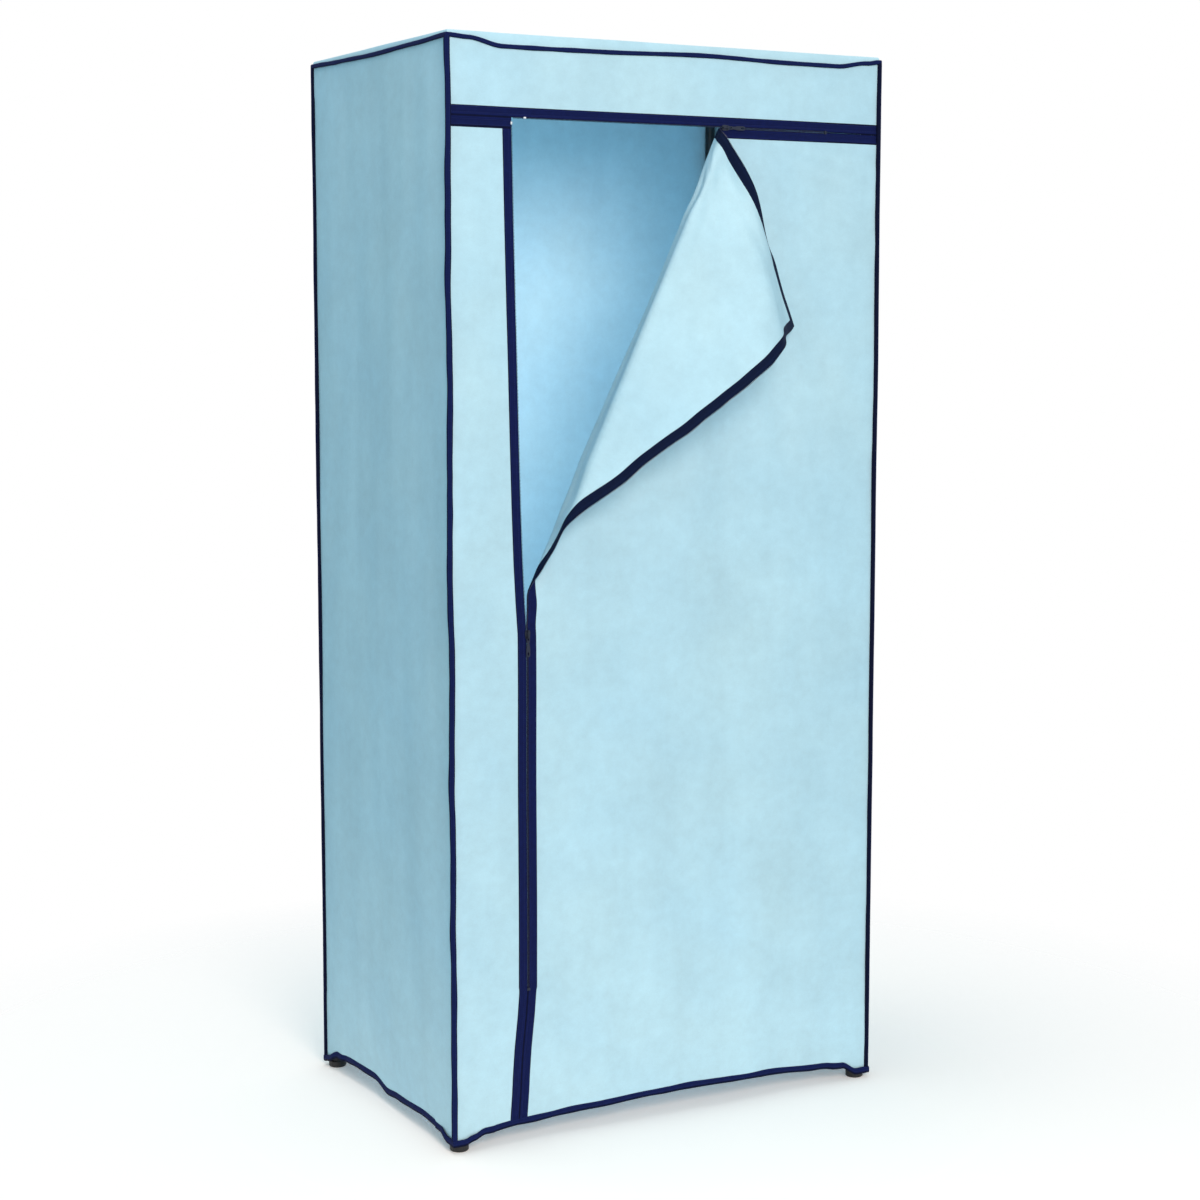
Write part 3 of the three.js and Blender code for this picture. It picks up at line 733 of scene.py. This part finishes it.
def hard_material(name, dark, light, roughness, metallic, grain_scale, bump):
    material, tree, bsdf = plain_material(name)
    place = object_place(tree)
    cloud = noise_node(tree, place, 18.0, 4.0)
    grain = noise_node(tree, place, grain_scale, 2.0)
    tree.links.new(mixed_color(tree, cloud, dark, light), bsdf.inputs["Base Color"])
    tree.links.new(summed(tree, times(tree, cloud, 0.2), roughness), bsdf.inputs["Roughness"])
    bsdf.inputs["Metallic"].default_value = metallic
    bump_to(tree, bsdf, grain, bump, 0.1 * MM)
    return material


PALE = cloth_material("pale_blue_cloth", linear(187, 221, 234))
# Painted shade beside the teeth, in the sewn groove and on the turned edge, and a painted highlight on the
# rolled lip
NAVY_TAPE = tape_material(
    "navy_zip_tape", linear(13, 23, 71), linear(28, 37, 90), 0.0046, 0.0122, 0.014,
    ((0, 0.4), (0.07, 0.45), (0.13, 1.15), (0.25, 1.1), (0.33, 0.45), (0.4, 1.0), (0.84, 1.0),
     (0.93, 0.4), (1, 0.4)))
# A darker copy of the navy tape for the reverse faces of the door's tapes: painted shade, darker still at
# both edges
NAVY_REVERSE_PAINTED_SHADE = tape_material(
    "navy_zip_tape_reverse_painted_shade", linear(5, 18, 47), linear(13, 27, 60), 0.0046, 0.0122, 0.014,
    ((0, 0.7), (0.1, 1.0), (0.9, 1.0), (1, 0.6)))
# Painted shade on the sides and back of the binding's section, which turn away from the front, and a slight
# painted highlight on its outer middle
NAVY_EDGE = tape_material(
    "navy_edge_binding", linear(12, 23, 68), linear(24, 34, 84), 0.0021, 0.0200, 0.007,
    ((0, 1.1), (0.4, 1.1), (0.56, 0.6), (0.7, 0.35), (1, 0.35)))
COIL = coil_material()

# Finish, dark and light colour, roughness, metallic, the grain's scale and its bump
TUBE, PLASTIC, STOP, METAL = (
    hard_material(name, linear(*dark), linear(*light), *rest)
    for name, dark, light, *rest in (
        ("black_coated_tube", (16, 16, 18), (24, 24, 27), 0.32, 0.0, 700.0, 0.12),
        ("black_plastic", (14, 14, 16), (22, 22, 25), 0.45, 0.0, 1400.0, 0.2),
        ("pale_zip_stop", (222, 222, 226), (238, 238, 240), 0.4, 0.0, 1200.0, 0.08),
        ("dark_zip_metal", (34, 40, 54), (56, 63, 78), 0.3, 0.8, 1800.0, 0.1),
    ))


# Cloth walls

def constant(value):
    return lambda x: np.full_like(np.asarray(x, float), value)


GRID = 6.5 * MM
EDGE_LAP = 1 * MM
FRONT_WALL = WALLS[0]


def plain_wall(name, wall, stands_for):
    bm = flat_sheet(constant(EDGE_LAP), constant(wall.length - EDGE_LAP), wall.hem, wall.top, GRID)
    wall_piece(name, wall, bm, CLOTH, PALE, [stands_for])


plain_wall("right_side_panel", WALLS[1], "right_side_cloth")
plain_wall("back_panel", WALLS[2], "back_cloth")
plain_wall("left_side_panel", WALLS[3], "left_side_cloth")

header = flat_sheet(constant(EDGE_LAP), constant(WIDTH - EDGE_LAP), constant(BAND_HIGH - LAP),
                    FRONT_WALL.top, 5 * MM)
wall_piece("header_panel", FRONT_WALL, header, CLOTH, PALE, ["header_cloth"])

strip = flat_sheet(constant(EDGE_LAP), lambda h: strip_edge(h) - TAPE + LAP, FRONT_WALL.hem,
                   constant(BAND_LOW + LAP), 5 * MM)
wall_piece("front_strip_panel", FRONT_WALL, strip, CLOTH, PALE, ["front_strip_cloth"])

door = flat_sheet(lambda h: door_edge(h) + TAPE - LAP, constant(WIDTH - EDGE_LAP), FRONT_WALL.hem,
                  constant(BAND_LOW + LAP), 5.5 * MM)
door_pieces("door_cloth", door, CLOTH, PALE,
            [["door_cloth", "fold_cloth"], ["leaf_cloth"], ["corner_cloth"]])


# Zip tapes. Their own place runs across the tape from the teeth, and along it.

TAPE_COLUMNS = 14


def tape_profile(across):
    """Height of a tape's outer face: a rolled lip beside the teeth, a sewn groove and a turned edge."""
    a = np.asarray(across, float)
    lip = np.exp(-((a - 2.4 * MM) / (1.5 * MM)) ** 2) * 0.9 * MM
    groove = np.exp(-((a - 5.0 * MM) / (0.9 * MM)) ** 2) * 0.45 * MM
    turned = smooth_step((a - 10.2 * MM) / (0.9 * MM)) * smooth_step((14.2 * MM - a) / (0.8 * MM))
    return lip - groove + turned * 0.6 * MM


def lay_tape_place(bm, across, along):
    uv = bm.loops.layers.uv.new("flat")
    for face in bm.faces:
        for loop in face.loops:
            x, y = loop.vert.co.x, loop.vert.co.y
            loop[uv].uv = (float(across(x, y)) + 1e-6, float(along(x, y)))
    return bm


def strip_across(x, y):
    return strip_edge(y) - x


def door_across(x, y):
    return x - door_edge(y)


def level_across(x, y):
    return abs(y - LEVEL_ZIP) - level_gap(x)


def return_across(x, y):
    return LEVEL_ZIP + HALF_GAP - y


def along_y(x, y):
    return y


def along_x(x, y):
    return x


upper = flat_sheet(constant(EDGE_LAP), constant(WIDTH - EDGE_LAP), lambda s: LEVEL_ZIP + level_gap(s),
                   constant(BAND_HIGH), columns=146, rows=TAPE_COLUMNS)
lay_tape_place(upper, level_across, along_x)
wall_piece("header_tape", FRONT_WALL, upper, TAPE_THICK, NAVY_TAPE, ["header_zip_tape"],
           profile=level_across)

returned = flat_sheet(constant(EDGE_LAP), strip_edge, constant(BAND_LOW),
                      constant(LEVEL_ZIP + HALF_GAP), columns=20, rows=TAPE_COLUMNS)
lay_tape_place(returned, return_across, along_x)
wall_piece("header_tape_return", FRONT_WALL, returned, TAPE_THICK, NAVY_TAPE,
           ["header_zip_tape"], profile=return_across)

strip_tape = flat_sheet(lambda h: strip_edge(h) - TAPE, strip_edge, FRONT_WALL.hem,
                        constant(BAND_LOW), columns=TAPE_COLUMNS, rows=290)
lay_tape_place(strip_tape, strip_across, along_y)
wall_piece("strip_tape", FRONT_WALL, strip_tape, TAPE_THICK, NAVY_TAPE, ["strip_zip_tape"],
           profile=strip_across)

# The two door tapes meet in a mitre at the door's corner
mitre_outer = Vector((float(zip_place(LEVEL_ZIP)) + HALF_GAP, LEVEL_ZIP - HALF_GAP, 0))
mitre_inner = Vector((float(zip_place(BAND_LOW)) + TAPE_FAR, BAND_LOW, 0))
mitre_line = (mitre_inner - mitre_outer).normalized()
mitre_normal = Vector((-mitre_line.y, mitre_line.x, 0))

door_side = flat_sheet(door_edge, lambda h: door_edge(h) + TAPE, FRONT_WALL.hem,
                       constant(LEVEL_ZIP - HALF_GAP), columns=TAPE_COLUMNS, rows=290)
cut(door_side, mitre_outer, mitre_normal, keep_positive=False)
lay_tape_place(door_side, door_across, along_y)
door_pieces("door_side_tape", door_side, TAPE_THICK, NAVY_TAPE,
            [["door_side_tape", "fold_side_tape"], ["leaf_side_tape"], ["corner_tape"]],
            profile=door_across, reverse=NAVY_REVERSE_PAINTED_SHADE)

door_top = flat_sheet(door_edge, constant(WIDTH - EDGE_LAP), constant(BAND_LOW),
                      lambda s: LEVEL_ZIP - level_gap(s), columns=126, rows=TAPE_COLUMNS)
cut(door_top, mitre_outer, mitre_normal, keep_positive=True)
lay_tape_place(door_top, level_across, along_x)
door_pieces("door_top_tape", door_top, TAPE_THICK, NAVY_TAPE,
            [["door_top_tape", "fold_top_tape"], ["leaf_top_tape"], ["corner_tape"]],
            profile=level_across, reverse=NAVY_REVERSE_PAINTED_SHADE)


# Zip teeth: small blocks along each tape's edge, those of one side between those of the other

TOOTH_PITCH = 2.0 * MM
TOOTH_REACH = 2.9 * MM
TOOTH_WIDTH = 1.0 * MM
TOOTH_HEIGHT = 1.3 * MM
TOOTH_OVER = 1.5 * MM
TOOTH_CROWN = 0.62


def teeth(places, inward):
    """places: (along, height, direction) of a tape's edge; inward: +1 for a gap to its left."""
    bm = bmesh.new()
    size = Matrix.Diagonal((TOOTH_WIDTH, TOOTH_REACH, TOOTH_HEIGHT, 1))
    for s, h, direction in places:
        side = Vector((-direction.y, direction.x, 0)) * inward
        middle = Vector((s, h, TAPE_THICK / 2 + TOOTH_HEIGHT * 0.2))
        middle += side * (TOOTH_OVER - TOOTH_REACH / 2)
        turn = Matrix((
            (direction.x, side.x, 0, middle.x),
            (direction.y, side.y, 0, middle.y),
            (0, 0, 1, middle.z),
            (0, 0, 0, 1),
        ))
        made = bmesh.ops.create_cube(bm, size=1.0, matrix=turn @ size)
        crown = [v for v in made["verts"] if v.co.z > middle.z]
        bmesh.ops.scale(bm, vec=(TOOTH_CROWN, TOOTH_CROWN, 1.0), space=Matrix.Translation(-middle),
                        verts=crown)
    bmesh.ops.recalc_face_normals(bm, faces=bm.faces[:])
    return bm


def side_places(edge, low, high, phase):
    count = int((high - low) / TOOTH_PITCH)
    found = []
    for k in range(count):
        h = low + (k + phase) * TOOTH_PITCH
        ahead = Vector((float(edge(h + 1 * MM)) - float(edge(h - 1 * MM)), 2 * MM, 0)).normalized()
        found.append((float(edge(h)), h, ahead))
    return found


def level_places(height, low, high, phase):
    count = int((high - low) / TOOTH_PITCH)
    return [(low + (k + phase) * TOOTH_PITCH, height, Vector((1, 0, 0))) for k in range(count)]


SIDE_TOP = LEVEL_ZIP - 3 * MM
LEVEL_START = float(zip_place(LEVEL_ZIP)) + 3 * MM


def still_teeth(name, places, inward):
    bm = teeth(places, inward)
    hung(bm, lambda co: on_wall(FRONT_WALL, co))
    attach(finish_piece(name, bm, COIL, sharp=25), "wardrobe_body")


still_teeth("strip_teeth", side_places(strip_edge, ZIP_FOOT, SIDE_TOP, 0.0), -1)
still_teeth("header_teeth", level_places(LEVEL_ZIP + HALF_GAP, LEVEL_START, ZIP_END, 0.0), -1)


def top_stop(name, s, h, upright):
    """A small pale block pinched on the end of a row of teeth."""
    bm = bmesh.new()
    size = (2.6, 4.0, 2.2) if upright else (4.0, 2.6, 2.2)
    place = Matrix.Translation((s, h, TAPE_THICK / 2 + 0.8 * MM))
    bmesh.ops.create_cube(bm, size=1.0, matrix=place @ Matrix.Diagonal((*[v * MM for v in size], 1)))
    bmesh.ops.bevel(bm, geom=bm.edges[:], offset=0.7 * MM, segments=3, profile=0.5,
                    affect="EDGES", material=-1)
    hung(bm, lambda co: on_wall(FRONT_WALL, co))
    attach(finish_piece(name, bm, STOP), "wardrobe_body")


top_stop("header_top_stop", LEVEL_START + 17 * MM, LEVEL_ZIP + HALF_GAP, upright=False)
top_stop("strip_top_stop", float(strip_edge(SIDE_TOP)), SIDE_TOP - 4 * MM, upright=True)


def between_meetings(point, region):
    for index in range(2):
        at, normal = meeting_plane(index)
        past = (Vector((point[0], point[1], 0)) - at).dot(normal) > 0
        if past != (region > index):
            return False
    return True


def door_teeth(name, places, inward):
    for region, part in enumerate(DOOR_PARTS):
        chosen = [p for p in places if between_meetings(p, region)]
        bm = teeth(chosen, inward)
        hung(bm, lambda co: door_place(co, region))
        piece = finish_piece(f"{name}_{part}", bm, COIL, sharp=25)
        start, end = FOLDS[region].blend_ends(region)
        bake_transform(piece)


door_teeth("door_side_teeth", side_places(door_edge, ZIP_FOOT, SIDE_TOP, 0.5), 1)
door_teeth("door_top_teeth", level_places(LEVEL_ZIP - HALF_GAP, LEVEL_START, ZIP_END, 0.5), 1)


# Roof cloth: a sheet over the rails with its edge turned down to the binding

ROOF_SAG = 3.0 * MM
ROOF_LOW = TOP - 0.6 * MM
RIM_REACH = 3.5 * MM


def roof_height(x, y):
    u = np.abs(x - (cover_low.x + cover_high.x) / 2) / (WIDTH / 2)
    v = (y - (cover_low.y + cover_high.y) / 2) / (DEPTH / 2)
    off_rails = smooth_step((0.93 - u) / 0.2)
    between = np.sin(np.pi * np.clip(np.abs(v), 0, 1)) * off_rails
    wave = scalar_noise(x / 0.12, y / 0.12, 21.3) * (1 - np.clip(np.abs(v), 0, 1) ** 4) * off_rails
    return ROOF_LOW - between * ROOF_SAG + wave * 1.2 * MM


def roof_piece():
    bm = bmesh.new()
    bmesh.ops.create_grid(bm, x_segments=90, y_segments=60, size=0.5)
    centre = (cover_low + cover_high) / 2
    for v in bm.verts:
        v.co = (v.co.x * (WIDTH - 4 * MM) + centre.x, v.co.y * (DEPTH - 4 * MM) + centre.y, 0)
    area = sum(f.calc_area() for f in bm.faces)
    co = np.array([v.co for v in bm.verts])
    z = roof_height(co[:, 0], co[:, 1])
    for v, height in zip(bm.verts, z):
        v.co.z = height
    rim = [e for e in bm.edges if e.is_boundary]

    def binding_height(point):
        for wall in WALLS:
            away = np.array(point) - wall.start
            if away @ wall.outward > -RIM_REACH:
                return float(wall.top(away @ wall.along))
        return TOP

    for share, grow in ((0.25, 1.0), (0.6, 0.5), (1.0, -0.2)):
        made = bmesh.ops.extrude_edge_only(bm, edges=rim)
        rim = [g for g in made["geom"] if isinstance(g, bmesh.types.BMEdge) and g.is_boundary]
        for v in (g for g in made["geom"] if isinstance(g, bmesh.types.BMVert)):
            low = binding_height((v.co.x, v.co.y, 0))
            if abs(v.co.x - centre.x) > WIDTH / 2 - RIM_REACH:
                v.co.x += math.copysign(grow * MM, v.co.x - centre.x)
            if abs(v.co.y - centre.y) > DEPTH / 2 - RIM_REACH:
                v.co.y += math.copysign(grow * MM, v.co.y - centre.y)
            v.co.z = ROOF_LOW + (low - ROOF_LOW) * share
    inner = [v for v in bm.verts if v.co.z > TOP - 5 * MM and not v.is_boundary]
    bmesh.ops.smooth_vert(bm, verts=inner, factor=0.4,
                          use_axis_x=False, use_axis_y=False, use_axis_z=True)
    uv = bm.loops.layers.uv.new("flat")
    for loop in (one for face in bm.faces for one in face.loops):
        place = [1.0, 1.0]
        for k, half in enumerate((WIDTH / 2, DEPTH / 2)):
            away = loop.vert.co[k] - centre[k]
            drop = ROOF_LOW - loop.vert.co.z if abs(away) > half - RIM_REACH else 0.0
            place[k] += away + math.copysign(drop, away)
        loop[uv].uv = place
    co = np.array([v.co for v in bm.verts])
    for v, shift in zip(bm.verts, settle(co)):
        v.co += Vector((shift[0], shift[1], max(shift[2], -0.1 * MM)))
    bmesh.ops.recalc_face_normals(bm, faces=bm.faces[:])
    bmesh.ops.solidify(bm, geom=bm.faces[:], thickness=CLOTH)
    bmesh.ops.recalc_face_normals(bm, faces=bm.faces[:])
    piece = finish_piece("roof_panel", bm, PALE, ["roof_cloth"])
    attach(piece, "wardrobe_body")


roof_piece()


# Bindings: folded tape over a seam, a closed tube of a soft section along a path

def lengths_round(points):
    """The length from the first point to each point, and back to the first."""
    ahead = points[1:] + points[:1]
    return np.concatenate([[0], np.cumsum([(b - a).length for a, b in zip(points, ahead)])])


def tube_along(name, path, sections, closed, stands_for):
    """sections: for each path point, the ring of points round it."""
    count, ring = len(path), len(sections[0])
    bm = bmesh.new()
    columns = count if closed else count - 1
    bmesh.ops.create_grid(bm, x_segments=columns, y_segments=ring, size=0.5)
    uv = bm.loops.layers.uv.new("flat")
    lengths, around = lengths_round(path), lengths_round(sections[0])
    spots = {}
    for v in bm.verts:
        spots[v] = (round((v.co.x + 0.5) * columns), round((v.co.y + 0.5) * ring))
    for face in bm.faces:
        for loop in face.loops:
            i, j = spots[loop.vert]
            loop[uv].uv = (min(around[j], around[-1] - around[j]) + 1e-6, lengths[i])
    for v, (i, j) in spots.items():
        v.co = sections[i % count][j % ring]
    bmesh.ops.remove_doubles(bm, verts=bm.verts[:], dist=1e-6)
    if not closed:
        ends = [e for e in bm.edges if e.is_boundary]
        bmesh.ops.holes_fill(bm, edges=ends, sides=0)
    bmesh.ops.recalc_face_normals(bm, faces=bm.faces[:])
    piece = finish_piece(name, bm, NAVY_EDGE, stands_for, sharp=50)
    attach(piece, "wardrobe_body")


RING = 12


def soft_ring(wide, deep, square=2.6):
    """A round section drawn a little towards a rectangle: (out, up) of each point."""
    def drawn(value, size):
        return math.copysign(abs(value) ** (2 / square), value) * size / 2

    angles = [2 * math.pi * (k + 0.5) / RING for k in range(RING)]
    return [(drawn(math.cos(a), deep), drawn(math.sin(a), wide)) for a in angles]


FOOT_CLEAR = 2.8 * MM


def edge_binding(name, tables, wide, deep, out_of_face, stands_for, waver):
    path, sections = [], []
    ring = soft_ring(wide, deep)
    for wall in WALLS:
        count = round(wall.length / (5 * MM))
        for k in range(count):
            s = wall.length * k / count
            flat = np.array([[s, float(tables[wall.index](s)), CLOTH_MIDDLE]])
            if waver:
                at = on_wall(wall, flat)[0]
            else:
                place = wall.start + wall.along * s + UP * flat[0, 1]
                at = place + settle(np.array([place]))[0]
            before = WALLS[(wall.index + 3) % 4]
            outward = wall.outward
            if k == 0:
                outward = wall.outward + before.outward
            size = 1 + 0.12 * noise.noise((s / 0.03, wall.index * 3.7, 5.5))
            by_foot = smooth_step((0.05 - min(s, wall.length - s)) / 0.02) if waver else 0.0
            centre = at + outward * (out_of_face + by_foot * FOOT_CLEAR)
            deepness = 1 if k else 0.75
            path.append(Vector(centre))
            sections.append([Vector(centre + outward * a * deepness + UP * b * size) for a, b in ring])
    tube_along(name, path, sections, True, stands_for)


edge_binding("roof_edge_binding", TOPS, ROOF_BAND, 3.6 * MM, 0.9 * MM, ["roof_binding"], False)
edge_binding("hem_edge_binding", HEMS, HEM_BAND, 3.4 * MM, -0.4 * MM, ["hem_binding"], True)


def corner_binding(name, wall, stands_for):
    before = WALLS[(wall.index + 3) % 4]
    diagonal = (wall.outward + before.outward) / math.sqrt(2)
    sideways = np.array([-diagonal[1], diagonal[0], 0.0])
    low = float(wall.hem(0)) + HEM_BAND * 0.2
    high = float(wall.top(0)) - ROOF_BAND * 0.2
    count = 260
    path, sections = [], []
    ring = soft_ring(8.8 * MM, 7.2 * MM, square=2.2)
    for k in range(count):
        height = low + (high - low) * k / (count - 1)
        place = wall.start + UP * height
        lean = noise.noise((height / 0.13, wall.index * 7.1, 2.2)) * 2.3 * MM
        lean += noise.noise((height / 0.04, wall.index * 3.3, 8.2)) * 0.6 * MM
        size = 1 + 0.13 * noise.noise((height / 0.05, wall.index * 4.1, 4.4))
        centre = place + settle(np.array([place]))[0] + sideways * lean - diagonal * 0.6 * MM
        path.append(Vector(centre))
        sections.append([Vector(centre + diagonal * a + sideways * b * size) for a, b in ring])
    tube_along(name, path, sections, False, stands_for)


for wall, place in zip(WALLS, ("front_left", "front_right", "back_right", "back_left")):
    corner_binding(f"corner_edge_{place}", wall, [f"corner_binding_{place}"])


# Frame pieces keep their shape and get their finish

def finish_node(name, material):
    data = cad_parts[name].data
    data.materials.clear()
    data.materials.append(material)


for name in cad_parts:
    if "post" in name or "rail" in name or name == "hanging_rod":
        finish_node(name, TUBE)
    elif "connector" in name or "bracket" in name:
        finish_node(name, PLASTIC)
    elif name.startswith(("side_zip", "top_zip")):
        finish_node(name, METAL)


# Floor, light and camera

def floor_material():
    """Matt white, fading out away from the object so that no horizon shows."""
    material, tree, bsdf = plain_material("pale_floor")
    bsdf.inputs["Base Color"].default_value = (0.98, 0.91, 0.87, 1)
    bsdf.inputs["Roughness"].default_value = 0.9
    bsdf.inputs["Specular IOR Level"].default_value = 0.1
    away = node(tree, "ShaderNodeVectorMath", {0: object_place(tree)}, operation="LENGTH")
    bsdf.inputs["Emission Color"].default_value = (1, 1, 1, 1)
    bsdf.inputs["Emission Strength"].default_value = 0.18
    fade = node(tree, "ShaderNodeMapRange",
                {"Value": away.outputs["Value"], "From Min": 0.5, "From Max": 1.35}).outputs[0]
    clear = node(tree, "ShaderNodeBsdfTransparent").outputs[0]
    mixed = node(tree, "ShaderNodeMixShader", {0: fade, 1: bsdf.outputs[0], 2: clear})
    tree.links.new(mixed.outputs[0], tree.nodes["Material Output"].inputs[0])
    return material


bpy.ops.mesh.primitive_plane_add(size=30, location=(0, 0, 0))
floor = bpy.context.object
floor.name = "floor"
floor.data.materials.append(floor_material())

world = bpy.data.worlds.new("studio")
bpy.context.scene.world = world
world.use_nodes = True
tree = world.node_tree
tree.nodes.clear()
rays = node(tree, "ShaderNodeLightPath").outputs
mirrored = math_node(tree, "MAXIMUM", rays["Is Glossy Ray"], rays["Is Transmission Ray"])
seen = math_node(tree, "MAXIMUM", rays["Is Camera Ray"], mirrored)
ambient = node(tree, "ShaderNodeBackground", {"Color": (0.54, 0.86, 1.0, 1), "Strength": 0.515})
white = node(tree, "ShaderNodeBackground", {"Color": (1, 1, 1, 1), "Strength": 1.0})
mixed = node(tree, "ShaderNodeMixShader", {0: seen, 1: ambient.outputs[0], 2: white.outputs[0]})
node(tree, "ShaderNodeOutputWorld", {0: mixed.outputs[0]})


def soft_lamp(name, place, aim, size, power, color=(1, 1, 1), tall=None):
    """A lamp with a round face, or with an upright one that the camera doesn't see."""
    data = bpy.data.lights.new(name, "AREA")
    data.shape = "RECTANGLE" if tall else "DISK"
    data.size = size
    data.size_y = tall or size
    data.energy = power
    data.color = color
    lamp = bpy.data.objects.new(name, data)
    bpy.context.scene.collection.objects.link(lamp)
    lamp.location = place
    lamp.rotation_euler = (Vector(aim) - Vector(place)).to_track_quat("-Z", "Y").to_euler()
    lamp.visible_camera = not tall


soft_lamp("key", (-1.0, -3.8, 2.3), (0, 0, 0.9), 2.0, 116, (1.0, 0.845, 0.75))
soft_lamp("top", (-0.4, 0.45, 4.4), (0, 0.1, 1.0), 2.8, 66, (1.0, 0.93, 0.86))
soft_lamp("glow", (0.0, -0.13, 1.0), (0.0, 0.3, 1.0), 0.5, 1.7, (0.64, 0.87, 1.0), tall=1.1)

camera_data = bpy.data.cameras.new("camera")
camera = bpy.data.objects.new("camera", camera_data)
bpy.context.scene.collection.objects.link(camera)
camera.location = (-1.8016, -3.17741, 1.2)
camera.rotation_euler = (math.radians(90 - 6.71), 0, math.radians(-29.25))
# The focal length was found in the photo's own pixels, of which it is 1200 wide
camera_data.sensor_width = 36
camera_data.lens = 2365.9 / 1200 * 36
bpy.context.scene.camera = camera
bpy.context.scene.view_settings.view_transform = "Standard"
